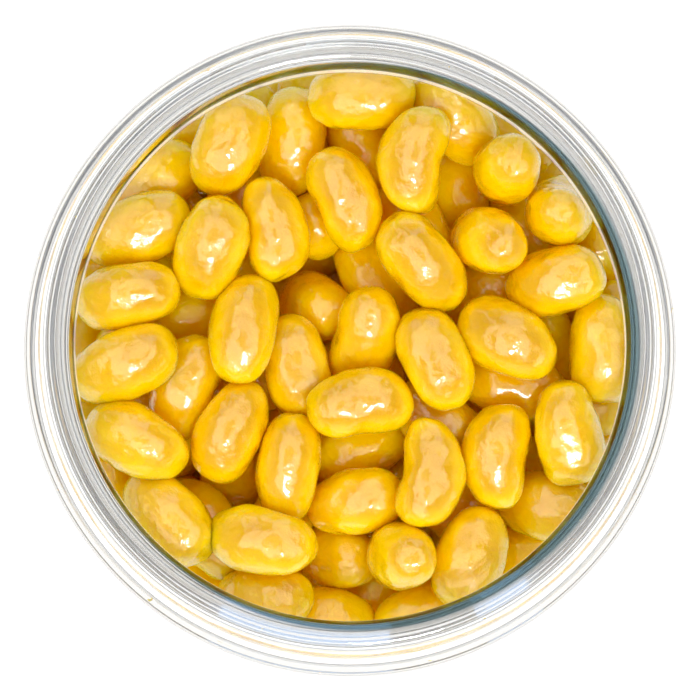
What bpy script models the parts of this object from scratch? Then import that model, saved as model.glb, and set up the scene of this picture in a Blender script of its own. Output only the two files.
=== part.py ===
# Jar of jelly beans: an open clear glass jar, filled nearly to the brim
# with plump yellow beans that lie pressed against the wall and each other.
# Blender 4.5, metres, +Z up. The jar stands on Z = 0 with its axis on Z.

import math

import bmesh
import bpy
import numpy as np
from mathutils import Vector
from mathutils.geometry import delaunay_2d_cdt

MM = 0.001

# Jar, from the standing ring up to the rounded lip
JAR_HEIGHT = 0.096
BODY_OUTER_R = 0.0490
WALL = 0.0032
BODY_INNER_R = BODY_OUTER_R - WALL
FLOOR_Z = 0.005
PUSH_UP = 0.0015
PUSH_UP_R = 0.030
FOOT_INNER_R = 0.036
HEEL_R = 0.007
SHOULDER_LOW_Z = JAR_HEIGHT - 0.020
SHOULDER_TOP_Z = JAR_HEIGHT - 0.008
MOUTH_R = 0.0405
NECK_OUTER_R = 0.0446
NECK_Z = JAR_HEIGHT - 0.010
LIP_OUTER_R = 0.0458
LIP_SIDE_Z = JAR_HEIGHT - 0.0073
LIP_ROUND = 0.5 * (LIP_OUTER_R - MOUTH_R)
JAR_SEGMENTS = 40
ARC_STEPS = 3
SHOULDER_STEPS = 6
MERGE_DISTANCE = 0.001 * MM

# One bean: a bent oval, 16.2 mm long and about 10 mm thick
BEAN_HALF_LENGTH = 0.0081
BEAN_RADIUS = 0.0049
BEAN_BLUNTNESS = 2.2
BEAN_BEND = 0.0016
BEND_ENDS_AT = 0.75

# Five balls along the bent middle line stand for a bean while it settles
BALL_X = np.array([-4.35, -2.3, 0.0, 2.3, 4.35]) * MM
BALL_R = np.array([3.75, 4.7, 4.9, 4.7, 3.75]) * MM
BALL_Y = BEAN_BEND * (0.5 - (BALL_X / BALL_X[-1]) ** 2)
BALLS = len(BALL_X)
BALL_PLACES = np.stack([BALL_X, BALL_Y, 0.0 * BALL_X], axis=1)

# Where the beans go: the level they fill the jar to, and the loose ones' start
WALL_GAP = 0.00055
FILL_Z = 0.0895
LOOSE_BEANS = 300
RANDOM_SEED = 5
POUR_LOW_Z = FLOOR_Z + 0.005
POUR_HIGH_Z = FILL_Z - 0.012
POUR_R = BODY_INNER_R - 0.004
STEEPEST_SINE = 0.75
TOP_LEVEL_Z = FILL_Z - 0.0045
LEVEL_STEP = 0.0055
LOWERING_STEP = 0.0005

# How they settle: they grow to full size, drift down, and push each other
# apart, while the laid ones are held less and less and then let go
STEPS = 650
FULL_SIZE_STEP = 200
DRIFT_STEPS = 344
LET_GO_STEP = 550
START_SIZE = 0.6
DRIFT = 0.015 * MM
OVER_STEP = 2.2
SHARED_PUSH = 0.7
NEIGHBOUR_REACH = 0.0185
NEIGHBOUR_STEPS = 8
HOLD = 0.5
WEAK_HOLD = 0.2
HOLD_FADE_STEPS = 240
TURN_HOLD = 0.8
LEVEL_HOLD = 0.3
WEAK_LEVEL_HOLD = 0.002
WALL_CHECKS = (-0.85, -0.6, -0.3, 0.0, 0.3, 0.6, 0.85)
CLEARING_STEPS = 4
TINY = 1e-12

# Beans laid by hand in the open top, level by level from the highest down:
# millimetres right and up from the axis, then degrees of heading, pitch and
# roll. Roll 0 turns the hollow to the left of the heading, 90 up, -90 down.
TOP_BEANS = [
    (-18.2, 30.6, 68, 8, -90), (2.4, 37.6, 12, 5, -90), (9.7, 28.4, 82, 0, 180),
    (-1.0, 22.2, 113, 0, 0), (-11.9, 17.6, 113, 0, 0), (-22.5, 14.4, 84, 0, -90),
    (-35.0, 9.0, -3, 5, -90), (-25.4, -4.7, 66, 5, 180), (-15.9, 3.1, 86, 0, -90),
    (-30.6, -13.4, 140, 0, -90), (-18.5, -12.1, 50, 5, -90), (1.6, 1.5, 68, 25, 0),
    (11.0, 12.8, 122, 5, -90), (12.8, -1.5, 105, 0, -90), (1.5, -8.8, -2, 0, 180),
    (-9.1, -17.8, 88, 0, -90), (11.2, -18.4, 82, 0, 0), (21.8, -16.0, 75, 5, 180),
    (22.9, 0.9, 140, 5, -90), (30.3, 10.1, 20, 25, -90), (37.2, 0.0, 88, 0, -90),
    (31.3, -12.6, 105, 5, -90), (17.2, -31.2, 65, 5, -90), (-13.2, -29.0, 3, 25, -90),
    (-28.2, -26.3, 125, 0, -90), (23.5, 32.5, -30, 0, -90), (-5.0, -39.4, 0, 0, -90),
]
SECOND_BEANS = [
    (-8.2, 31.5, 78, 10, -90), (-30.1, 24.4, 20, 10, -90), (-35.0, 17.6, 5, 10, -90),
    (-32.6, -1.8, 90, 45, -90), (-8.7, -2.1, 95, 5, -90), (-4.4, 6.8, -20, 60, -90),
    (21.5, 16.3, 0, 55, -90), (24.9, 27.2, 25, 40, -90), (17.6, 35.4, 100, 15, -90),
    (30.9, 20.7, 45, 60, -90), (1.5, -14.6, 20, 15, -90), (0.7, -23.1, 10, 35, -90),
    (28.2, -22.9, 10, 35, -90), (8.1, -30.4, 0, 65, -90), (-12.9, -36.2, 5, 25, -90),
    (27.2, -29.7, 20, 10, -90),
]
THIRD_BEANS = [
    (3.7, 10.9, 120, 10, -90), (16.2, 23.7, 80, 10, -90), (37.5, 17.8, 110, 10, -90),
    (29.9, 0.9, 100, 10, -90), (16.9, -22.6, 150, 10, -90), (-20.6, -27.1, 115, 10, -90),
    (-36.8, -17.5, 115, 10, -90), (11.8, -40.0, 30, 10, -90), (-22.8, -35.6, 135, 10, -90),
    (18.8, -8.7, 30, 10, -90), (20.6, 9.0, 10, 10, -90), (-25.3, 5.0, 15, 10, -90),
    (1.8, 30.3, 110, 10, -90), (13.2, -11.6, 160, 10, -90), (25.0, -5.3, 0, 10, -90),
    (-39.7, 0.1, 85, 0, -90), (-17.4, -20.4, 90, 65, -90), (-1.8, -30.7, 0, 65, -90),
    (4.1, -37.6, 90, 60, -90),
]

# The solid middle of the heap, and how finely the beans on it are cut
CORE_INSET = 0.0052
CORE_SINK = 0.0018
CORE_FLOOR_GAP = 0.0004
CORE_SEGMENTS = 24
CORE_HEEL_STEPS = 2
CORE_RIM_Z = 0.083
CORE_RIM_CLEAR = 0.0015
TOP_SIDES, TOP_RINGS = 6, 4
SIDE_SIDES, SIDE_RINGS = 6, 3
SEEN_SHARE = 1.0
SEEN_DEPTH = 0.0025

GLASS_COLOUR = (0.86, 0.92, 0.92, 1.0)
GLASS_ROUGHNESS = 0.03
GLASS_TRANSMISSION = 0.95
GLASS_SHARP_DEGREES = 50
BEAN_COLOUR = (0.90, 0.52, 0.01, 1.0)
BEAN_ROUGHNESS = 0.3
BEAN_SHARP_DEGREES = 40


def clear_scene():
    for item in list(bpy.data.objects):
        bpy.data.objects.remove(item, do_unlink=True)


def material(name, colour, roughness, transmission=0.0):
    made = bpy.data.materials.new(name)
    made.use_nodes = True
    shader = made.node_tree.nodes["Principled BSDF"]
    shader.inputs["Base Color"].default_value = colour
    shader.inputs["Roughness"].default_value = roughness
    shader.inputs["Transmission Weight"].default_value = transmission
    return made


def add_object(name, mesh, finish, collection):
    mesh.materials.append(finish)
    item = bpy.data.objects.new(name, mesh)
    collection.objects.link(item)
    return item


def smooth_share(share):
    """An S-curve from 0 to 1, flat at both ends."""
    share = np.clip(share, 0.0, 1.0)
    return share * share * (3.0 - 2.0 * share)


def inner_radius(z):
    """Radius of the jar's inner wall at the heights z."""
    shoulder = smooth_share((z - SHOULDER_LOW_Z) / (SHOULDER_TOP_Z - SHOULDER_LOW_Z))
    wall = BODY_INNER_R + (MOUTH_R - BODY_INNER_R) * shoulder
    depth = np.clip(FLOOR_Z + HEEL_R - z, 0.0, HEEL_R)
    return wall - HEEL_R + np.sqrt(HEEL_R ** 2 - depth ** 2)


def arc(centre_r, centre_z, radius, start, end, steps):
    """Points of an arc in the (radius, height) plane, angles in degrees."""
    turns = np.radians(np.linspace(start, end, steps + 1))
    return [(centre_r + radius * math.cos(t), centre_z + radius * math.sin(t)) for t in turns]


def s_curve(start, end, steps):
    """Points from start to end whose radius follows an S-curve."""
    shares = np.linspace(0.0, 1.0, steps + 1)
    return [
        (start[0] + (end[0] - start[0]) * float(smooth_share(s)), start[1] + (end[1] - start[1]) * s)
        for s in shares
    ]


def jar_outline():
    """The jar's section, from the axis under the floor, round the lip, to the axis inside."""
    outline = [(0.0, PUSH_UP), (PUSH_UP_R, PUSH_UP), (FOOT_INNER_R, 0.0)]
    outline += arc(BODY_OUTER_R - HEEL_R, HEEL_R, HEEL_R, -90, 0, ARC_STEPS)
    outline += s_curve((BODY_OUTER_R, SHOULDER_LOW_Z), (NECK_OUTER_R, NECK_Z), SHOULDER_STEPS)
    outline += [(LIP_OUTER_R, LIP_SIDE_Z)]
    lip_middle = 0.5 * (MOUTH_R + LIP_OUTER_R)
    outline += arc(lip_middle, JAR_HEIGHT - LIP_ROUND, LIP_ROUND, 0, 180, 2 * ARC_STEPS)
    outline += s_curve((MOUTH_R, SHOULDER_TOP_Z), (BODY_INNER_R, SHOULDER_LOW_Z), SHOULDER_STEPS)
    outline += arc(BODY_INNER_R - HEEL_R, FLOOR_Z + HEEL_R, HEEL_R, 0, -90, ARC_STEPS)
    outline += [(0.0, FLOOR_Z)]
    return outline


def turned_mesh(name, outline, segments):
    """Turn a section round the Z axis into one closed mesh."""
    shape = bmesh.new()
    corners = [shape.verts.new((r, 0.0, z)) for r, z in outline]
    edges = [shape.edges.new(pair) for pair in zip(corners, corners[1:])]
    bmesh.ops.spin(shape, geom=corners + edges, cent=(0, 0, 0), axis=(0, 0, 1), dvec=(0, 0, 0),
                   angle=2 * math.pi, steps=segments, use_merge=True, use_duplicate=False)
    bmesh.ops.remove_doubles(shape, verts=shape.verts, dist=MERGE_DISTANCE)
    bmesh.ops.recalc_face_normals(shape, faces=shape.faces)
    mesh = bpy.data.meshes.new(name)
    shape.to_mesh(mesh)
    shape.free()
    return mesh


def shade_round(mesh, sharp_degrees):
    mesh.shade_smooth()
    mesh.set_sharp_from_angle(angle=math.radians(sharp_degrees))


def turn(heading, pitch, roll):
    """A bean's axes as columns: along it, away from its hollow, and across."""
    heading, pitch, roll = np.radians([heading, pitch, roll])
    flat = math.cos(pitch)
    along = np.array([math.cos(heading) * flat, math.sin(heading) * flat, math.sin(pitch)])
    left = np.array([-math.sin(heading), math.cos(heading), 0.0])
    hollow = left * math.cos(roll) + np.cross(along, left) * math.sin(roll)
    return np.stack([along, -hollow, np.cross(along, -hollow)], axis=1)


def below_shoulder(x, y, z):
    """Lower a bean's middle from the height z until its side clears the wall."""
    side = math.hypot(x, y) + BEAN_RADIUS
    while z > SHOULDER_LOW_Z and inner_radius(z) - WALL_GAP < side:
        z -= LOWERING_STEP
    return z


def laid_beans():
    """Places and turns of the beans laid in the open top."""
    places, turns = [], []
    for level, rows in enumerate((TOP_BEANS, SECOND_BEANS, THIRD_BEANS)):
        for x, y, heading, pitch, roll in rows:
            z = below_shoulder(x * MM, y * MM, TOP_LEVEL_Z - level * LEVEL_STEP)
            places.append((x * MM, y * MM, z))
            turns.append(turn(heading, pitch, roll))
    return np.array(places), np.array(turns)


def poured_beans(random):
    """Random places and turns of the loose beans under them."""
    heights = random.uniform(POUR_LOW_Z, POUR_HIGH_Z, LOOSE_BEANS)
    radii = POUR_R * np.sqrt(random.uniform(0.0, 1.0, LOOSE_BEANS))
    angles = random.uniform(0.0, 2 * math.pi, LOOSE_BEANS)
    headings = random.uniform(0.0, 360.0, LOOSE_BEANS)
    pitches = np.degrees(np.arcsin(random.uniform(-STEEPEST_SINE, STEEPEST_SINE, LOOSE_BEANS)))
    rolls = random.uniform(0.0, 360.0, LOOSE_BEANS)
    places = np.stack([radii * np.cos(angles), radii * np.sin(angles), heights], axis=1)
    return places, np.array([turn(*angles) for angles in zip(headings, pitches, rolls)])


def ball_centres(places, turns):
    """Centres of all the balls, five to a bean, in one list."""
    return (places[:, None] + np.einsum("nij,kj->nki", turns, BALL_PLACES)).reshape(-1, 3)


def near_balls(places):
    """Every pair of balls whose beans lie close enough to touch."""
    apart = places[:, None] - places[None]
    near = (apart * apart).sum(axis=2) < NEIGHBOUR_REACH ** 2
    first, second = np.nonzero(np.triu(near, 1))
    ball = np.arange(BALLS)
    pairs = np.zeros((len(first), BALLS, BALLS), dtype=int)
    ones = pairs + first[:, None, None] * BALLS + ball[None, :, None]
    others = pairs + second[:, None, None] * BALLS + ball[None, None, :]
    return ones.reshape(-1), others.reshape(-1)


def push_apart(centres, radii, ones, others):
    """Move overlapping balls away from each other by half of what they overlap."""
    apart = centres[ones] - centres[others]
    distance = np.sqrt((apart * apart).sum(axis=1)) + TINY
    overlap = radii[ones] + radii[others] - distance
    hit = overlap > 0.0
    ones, others = ones[hit], others[hit]
    push = apart[hit] * (0.5 * overlap[hit] / distance[hit])[:, None]
    count = len(centres)
    hits = np.bincount(ones, minlength=count) + np.bincount(others, minlength=count)
    moved = centres.copy()
    for axis in range(3):
        away = np.bincount(ones, push[:, axis], count) - np.bincount(others, push[:, axis], count)
        moved[:, axis] += away / np.maximum(1.0, hits * SHARED_PUSH)
    return moved


def keep_in_jar(centres, radii):
    """Hold the balls off the wall, the floor and the level of the brim."""
    limits = [
        inner_radius(centres[:, 2] + share * radii) - math.sqrt(1.0 - share * share) * radii
        for share in WALL_CHECKS
    ]
    limit = np.min(limits, axis=0) - WALL_GAP
    reach = np.hypot(centres[:, 0], centres[:, 1])
    centres[:, :2] *= np.minimum(1.0, limit / np.maximum(reach, TINY))[:, None]
    centres[:, 2] = np.clip(centres[:, 2], FLOOR_Z + WALL_GAP + radii, FILL_Z - radii)
    return centres


def follow_balls(places, turns, before, after):
    """Move and turn each bean as one stiff piece to where its balls went."""
    weights = BALL_R ** 2 / (BALL_R ** 2).sum()
    before = before.reshape(-1, BALLS, 3)
    moves = after.reshape(-1, BALLS, 3) - before
    shift = (moves * weights[None, :, None]).sum(axis=1)
    arms = before - places[:, None]
    torque = (np.cross(arms, moves - shift[:, None]) * weights[None, :, None]).sum(axis=1)
    inertia = ((arms ** 2).sum(axis=2) * weights).sum(axis=1)
    spin = OVER_STEP * torque / inertia[:, None]
    return places + OVER_STEP * shift, turns + np.cross(spin[:, :, None], turns, axis=1)


def square_up(turns):
    """Make the bean's axes square to each other and of unit length again."""
    along = turns[:, :, 0] / np.linalg.norm(turns[:, :, 0], axis=1)[:, None]
    away = turns[:, :, 1]
    away = away - (along * away).sum(axis=1)[:, None] * along
    away = away / np.linalg.norm(away, axis=1)[:, None]
    return np.stack([along, away, np.cross(along, away)], axis=2)


def clear_of_wall(places, turns):
    """Shift each bean whole by the most that any of its balls needs to clear the jar."""
    radii = np.tile(BALL_R, len(places))
    for _ in range(CLEARING_STEPS):
        centres = ball_centres(places, turns)
        needed = (keep_in_jar(centres.copy(), radii) - centres).reshape(-1, BALLS, 3)
        furthest = np.argmax((needed ** 2).sum(axis=2), axis=1)
        places = places + needed[np.arange(len(places)), furthest]
    return places


def settled_beans():
    """Places and turns of every bean once the jar is full."""
    laid_places, laid_turns = laid_beans()
    loose_places, loose_turns = poured_beans(np.random.default_rng(RANDOM_SEED))
    laid = len(laid_places)
    places = np.concatenate([laid_places, loose_places])
    turns = np.concatenate([laid_turns, loose_turns])
    full_radii = np.tile(BALL_R, len(places))
    for step in range(STEPS):
        if step % NEIGHBOUR_STEPS == 0:
            ones, others = near_balls(places)
        grown = min(1.0, step / FULL_SIZE_STEP)
        radii = full_radii * (START_SIZE + (1.0 - START_SIZE) * grown)
        centres = ball_centres(places, turns)
        moved = push_apart(centres, radii, ones, others)
        if step < DRIFT_STEPS:
            moved[:, 2] -= DRIFT
        moved = keep_in_jar(moved, radii)
        places, turns = follow_balls(places, turns, centres, moved)
        if step < LET_GO_STEP:
            faded = max(0.0, (step - FULL_SIZE_STEP) / HOLD_FADE_STEPS)
            hold = max(WEAK_HOLD, HOLD - faded)
            level_hold = LEVEL_HOLD if grown < 1.0 else WEAK_LEVEL_HOLD
            places[:laid, :2] += (laid_places[:, :2] - places[:laid, :2]) * hold
            places[:laid, 2] += (laid_places[:, 2] - places[:laid, 2]) * level_hold
            turns[:laid] += (laid_turns - turns[:laid]) * hold * TURN_HOLD
        places = np.round(places, 10)
        turns = np.round(square_up(turns), 7)
    return clear_of_wall(places, turns), turns


def seen_beans(places, turns):
    """Which beans show from above, and which through the wall."""
    centres = ball_centres(places, turns)
    radii = np.tile(BALL_R, len(places))
    owner = np.repeat(np.arange(len(places)), BALLS)
    other_bean = owner[:, None] != owner[None]
    level = np.hypot(centres[:, None, 0] - centres[None, :, 0], centres[:, None, 1] - centres[None, :, 1])
    above = centres[None, :, 2] > centres[:, None, 2]
    roofed = (other_bean & above & (level < SEEN_SHARE * radii[None])).any(axis=1)
    reach = np.hypot(centres[:, 0], centres[:, 1])
    outward = centres[:, :2] / reach[:, None]
    along = outward @ centres[:, :2].T
    sideways = reach[None] ** 2 - along ** 2 + (centres[:, None, 2] - centres[None, :, 2]) ** 2
    nearer = along > reach[:, None]
    walled = (other_bean & nearer & (sideways < (SEEN_SHARE * radii[None]) ** 2)).any(axis=1)
    depth = inner_radius(centres[:, 2]) - WALL_GAP - radii - reach
    from_above = ~roofed.reshape(-1, BALLS).all(axis=1)
    from_side = ~(walled | (depth > SEEN_DEPTH)).reshape(-1, BALLS).all(axis=1)
    return from_above, from_side


def bean_mesh(name, sides, rings):
    """A closed bean with few sides, its hollow towards -Y."""
    shape = bmesh.new()
    loops = []
    for ring in range(rings):
        share = -math.cos(math.pi * (ring + 1) / (rings + 1))
        radius = BEAN_RADIUS * (1.0 - abs(share) ** BEAN_BLUNTNESS) ** (1.0 / BEAN_BLUNTNESS)
        middle = BEAN_BEND * (0.5 - float(smooth_share(abs(share) / BEND_ENDS_AT)))
        loops.append([
            shape.verts.new((
                BEAN_HALF_LENGTH * share,
                middle + radius * math.cos(2 * math.pi * side / sides),
                radius * math.sin(2 * math.pi * side / sides),
            ))
            for side in range(sides)
        ])
    tips = [shape.verts.new((end * BEAN_HALF_LENGTH, -0.5 * BEAN_BEND, 0.0)) for end in (-1, 1)]
    for side in range(sides):
        after = (side + 1) % sides
        shape.faces.new((tips[0], loops[0][side], loops[0][after]))
        shape.faces.new((tips[1], loops[-1][after], loops[-1][side]))
        for low, high in zip(loops, loops[1:]):
            shape.faces.new((low[side], high[side], high[after], low[after]))
    bmesh.ops.recalc_face_normals(shape, faces=shape.faces)
    mesh = bpy.data.meshes.new(name)
    shape.to_mesh(mesh)
    shape.free()
    return mesh


def core_rim_height(x, y, peaks):
    """Height of the core's upper edge, taken from the top beans nearest to (x, y)."""
    distance = (peaks[:, 0] - x) ** 2 + (peaks[:, 1] - y) ** 2
    weights = 1.0 / (distance + MM ** 2) ** 2
    return float((weights * peaks[:, 2]).sum() / weights.sum())


def core_mesh(tops):
    """The middle of the heap: its side stands in from the wall, its top runs from bean to bean."""
    peaks = tops - np.array([0.0, 0.0, CORE_SINK])
    low = FLOOR_Z + CORE_FLOOR_GAP
    heel_middle = BODY_INNER_R - HEEL_R - CORE_INSET
    rim_r = float(inner_radius(np.array([CORE_RIM_Z]))[0]) - CORE_INSET
    outline = arc(heel_middle, low + HEEL_R, HEEL_R, -90, 0, CORE_HEEL_STEPS)
    outline += [(BODY_INNER_R - CORE_INSET, SHOULDER_LOW_Z - CORE_INSET)]
    shape = bmesh.new()
    loops = [
        [
            shape.verts.new((r * math.cos(angle), r * math.sin(angle), z))
            for angle in np.arange(CORE_SEGMENTS) * 2 * math.pi / CORE_SEGMENTS
        ]
        for r, z in outline + [(rim_r, CORE_RIM_Z)]
    ]
    rim = loops[-1]
    for corner in rim:
        corner.co.z = core_rim_height(corner.co.x, corner.co.y, peaks)
    inside = [peak for peak in peaks if math.hypot(peak[0], peak[1]) < rim_r - CORE_RIM_CLEAR]
    corners = rim + [shape.verts.new(peak) for peak in inside]
    flat = [Vector((corner.co.x, corner.co.y)) for corner in corners]
    for face in delaunay_2d_cdt(flat, [], [], 0, MM * MM)[2]:
        shape.faces.new([corners[index] for index in face])
    shape.faces.new(loops[0][::-1])
    for lower, upper in zip(loops, loops[1:]):
        for side in range(CORE_SEGMENTS):
            after = (side + 1) % CORE_SEGMENTS
            shape.faces.new((lower[side], lower[after], upper[after], upper[side]))
    bmesh.ops.recalc_face_normals(shape, faces=shape.faces)
    mesh = bpy.data.meshes.new("beans")
    shape.to_mesh(mesh)
    shape.free()
    return mesh


def keep_outer_shell(mesh):
    """Drop loose scraps and fill sealed hollows, so that one closed body is left."""
    shape = bmesh.new()
    shape.from_mesh(mesh)
    unvisited = set(shape.faces)
    shells = []
    while unvisited:
        front = [unvisited.pop()]
        shell = list(front)
        while front:
            for edge in front.pop().edges:
                for face in edge.link_faces:
                    if face in unvisited:
                        unvisited.remove(face)
                        front.append(face)
                        shell.append(face)
        shells.append(shell)
    shells.sort(key=len)
    scraps = [face for shell in shells[:-1] for face in shell]
    bmesh.ops.delete(shape, geom=scraps, context="FACES")
    shape.to_mesh(mesh)
    shape.free()


def build_jar(collection):
    finish = material("jar_glass", GLASS_COLOUR, GLASS_ROUGHNESS, GLASS_TRANSMISSION)
    mesh = turned_mesh("jar", jar_outline(), JAR_SEGMENTS)
    shade_round(mesh, GLASS_SHARP_DEGREES)
    return add_object("jar", mesh, finish, collection)


def build_beans(collection):
    """One heap: the core with every bean that shows fused on."""
    finish = material("bean_shell", BEAN_COLOUR, BEAN_ROUGHNESS)
    places, turns = settled_beans()
    from_above, from_side = seen_beans(places, turns)
    heap = add_object("beans", core_mesh(places[from_above]), finish, collection)
    pieces = bpy.data.collections.new("loose_beans")
    bpy.context.scene.collection.children.link(pieces)
    fine = bean_mesh("top_bean", TOP_SIDES, TOP_RINGS)
    plain = bean_mesh("side_bean", SIDE_SIDES, SIDE_RINGS)
    for number in np.nonzero(from_above | from_side)[0]:
        piece = bpy.data.objects.new(f"bean_{number}", fine if from_above[number] else plain)
        pieces.objects.link(piece)
        pose = np.eye(4)
        pose[:3, :3] = turns[number]
        pose[:3, 3] = places[number]
        piece.matrix_world = pose.T.tolist()
    fuse = heap.modifiers.new("fuse", "BOOLEAN")
    fuse.operation = "UNION"
    fuse.operand_type = "COLLECTION"
    fuse.collection = pieces
    fuse.solver = "MANIFOLD"
    bpy.context.view_layer.update()
    fused = bpy.data.meshes.new_from_object(heap.evaluated_get(bpy.context.evaluated_depsgraph_get()))
    heap.modifiers.clear()
    heap.data = fused
    for piece in list(pieces.objects):
        bpy.data.objects.remove(piece, do_unlink=True)
    bpy.data.collections.remove(pieces)
    keep_outer_shell(fused)
    shade_round(fused, BEAN_SHARP_DEGREES)
    return heap


def main():
    clear_scene()
    collection = bpy.context.scene.collection
    build_jar(collection)
    build_beans(collection)


main()
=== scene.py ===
import math

import bpy
import numpy as np
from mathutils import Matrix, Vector


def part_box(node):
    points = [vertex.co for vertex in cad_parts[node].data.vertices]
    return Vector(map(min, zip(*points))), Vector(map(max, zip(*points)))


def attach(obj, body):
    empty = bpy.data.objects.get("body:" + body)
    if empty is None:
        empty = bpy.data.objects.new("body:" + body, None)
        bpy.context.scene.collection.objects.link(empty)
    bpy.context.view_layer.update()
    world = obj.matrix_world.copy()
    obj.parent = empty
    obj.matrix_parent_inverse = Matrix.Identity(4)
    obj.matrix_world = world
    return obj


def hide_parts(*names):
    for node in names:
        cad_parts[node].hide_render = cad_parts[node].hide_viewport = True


# An open glass jar, seen from straight above, filled nearly to the brim with
# plump yellow jelly beans. The glass and the beans stand where the plain
# solids of the frame stand. The beans are poured and settled by the same rule
# as those, so that each one lies where its solid does.

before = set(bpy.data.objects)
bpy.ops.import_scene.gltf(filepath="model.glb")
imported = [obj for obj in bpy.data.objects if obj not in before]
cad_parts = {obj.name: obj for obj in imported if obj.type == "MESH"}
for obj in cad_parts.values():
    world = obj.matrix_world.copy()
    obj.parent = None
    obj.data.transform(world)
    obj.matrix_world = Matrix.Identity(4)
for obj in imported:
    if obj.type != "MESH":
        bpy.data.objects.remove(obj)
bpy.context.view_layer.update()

MM = 0.001

# Jar, from the standing ring up to the rounded lip; its height and width come from the frame
JAR_HEIGHT = round(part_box("jar")[1].z, 6)
BODY_OUTER_R = round(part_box("jar")[1].x, 6)
WALL = 0.0032
BODY_INNER_R = BODY_OUTER_R - WALL
FLOOR_Z = 0.005
PUSH_UP = 0.0015
PUSH_UP_R = 0.030
FOOT_INNER_R = 0.036
HEEL_R = 0.007
SHOULDER_LOW_Z = JAR_HEIGHT - 0.020
SHOULDER_TOP_Z = JAR_HEIGHT - 0.008
MOUTH_R = 0.0405
NECK_OUTER_R = 0.0446
NECK_Z = JAR_HEIGHT - 0.010
LIP_OUTER_R = 0.0458
LIP_SIDE_Z = JAR_HEIGHT - 0.0073
LIP_ROUND = 0.5 * (LIP_OUTER_R - MOUTH_R)

JAR_SEGMENTS = 360
ARC_STEPS = 18
SHOULDER_STEPS = 28
MERGE_DISTANCE = 0.001 * MM

# One bean: a bent oval, 16.2 mm long and about 10 mm thick
BEAN_HALF_LENGTH = 0.0081
BEAN_RADIUS = 0.0049
BEAN_BEND = 0.0016

# Five balls along the bent middle line stand for a bean while it settles
BALL_X = np.array([-4.35, -2.3, 0.0, 2.3, 4.35]) * MM
BALL_R = np.array([3.75, 4.7, 4.9, 4.7, 3.75]) * MM
BALL_Y = BEAN_BEND * (0.5 - (BALL_X / BALL_X[-1]) ** 2)
BALLS = len(BALL_X)
BALL_PLACES = np.stack([BALL_X, BALL_Y, 0.0 * BALL_X], axis=1)

# Where the beans go: the level they fill the jar to, and the loose ones' start
WALL_GAP = 0.00055
FILL_Z = 0.0895
LOOSE_BEANS = 300
RANDOM_SEED = 5
POUR_LOW_Z = FLOOR_Z + 0.005
POUR_HIGH_Z = FILL_Z - 0.012
POUR_R = BODY_INNER_R - 0.004
STEEPEST_SINE = 0.75
TOP_LEVEL_Z = FILL_Z - 0.0045
LEVEL_STEP = 0.0055
LOWERING_STEP = 0.0005

# How they settle: they grow to full size, drift down, and push each other
# apart, while the laid ones are held less and less and then let go
STEPS = 650
FULL_SIZE_STEP = 200
DRIFT_STEPS = 344
LET_GO_STEP = 550
START_SIZE = 0.6
DRIFT = 0.015 * MM
OVER_STEP = 2.2
SHARED_PUSH = 0.7
NEIGHBOUR_REACH = 0.0185
NEIGHBOUR_STEPS = 8
HOLD = 0.5
WEAK_HOLD = 0.2
HOLD_FADE_STEPS = 240
TURN_HOLD = 0.8
LEVEL_HOLD = 0.3
WEAK_LEVEL_HOLD = 0.002
WALL_CHECKS = (-0.85, -0.6, -0.3, 0.0, 0.3, 0.6, 0.85)
CLEARING_STEPS = 4
TINY = 1e-12

# Beans laid in the open top, level by level from the highest down: millimetres right and up from
# the axis, then degrees of heading, pitch and roll. Roll 0 turns the hollow to the left of the
# heading, 90 up, -90 down.
TOP_BEANS = [
    (-18.2, 30.6, 68, 8, -90), (2.4, 37.6, 12, 5, -90), (9.7, 28.4, 82, 0, 180),
    (-1.0, 22.2, 113, 0, 0), (-11.9, 17.6, 113, 0, 0), (-22.5, 14.4, 84, 0, -90),
    (-35.0, 9.0, -3, 5, -90), (-25.4, -4.7, 66, 5, 180), (-15.9, 3.1, 86, 0, -90),
    (-30.6, -13.4, 140, 0, -90), (-18.5, -12.1, 50, 5, -90), (1.6, 1.5, 68, 25, 0),
    (11.0, 12.8, 122, 5, -90), (12.8, -1.5, 105, 0, -90), (1.5, -8.8, -2, 0, 180),
    (-9.1, -17.8, 88, 0, -90), (11.2, -18.4, 82, 0, 0), (21.8, -16.0, 75, 5, 180),
    (22.9, 0.9, 140, 5, -90), (30.3, 10.1, 20, 25, -90), (37.2, 0.0, 88, 0, -90),
    (31.3, -12.6, 105, 5, -90), (17.2, -31.2, 65, 5, -90), (-13.2, -29.0, 3, 25, -90),
    (-28.2, -26.3, 125, 0, -90), (23.5, 32.5, -30, 0, -90), (-5.0, -39.4, 0, 0, -90),
]
SECOND_BEANS = [
    (-8.2, 31.5, 78, 10, -90), (-30.1, 24.4, 20, 10, -90), (-35.0, 17.6, 5, 10, -90),
    (-32.6, -1.8, 90, 45, -90), (-8.7, -2.1, 95, 5, -90), (-4.4, 6.8, -20, 60, -90),
    (21.5, 16.3, 0, 55, -90), (24.9, 27.2, 25, 40, -90), (17.6, 35.4, 100, 15, -90),
    (30.9, 20.7, 45, 60, -90), (1.5, -14.6, 20, 15, -90), (0.7, -23.1, 10, 35, -90),
    (28.2, -22.9, 10, 35, -90), (8.1, -30.4, 0, 65, -90), (-12.9, -36.2, 5, 25, -90),
    (27.2, -29.7, 20, 10, -90),
]
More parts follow.
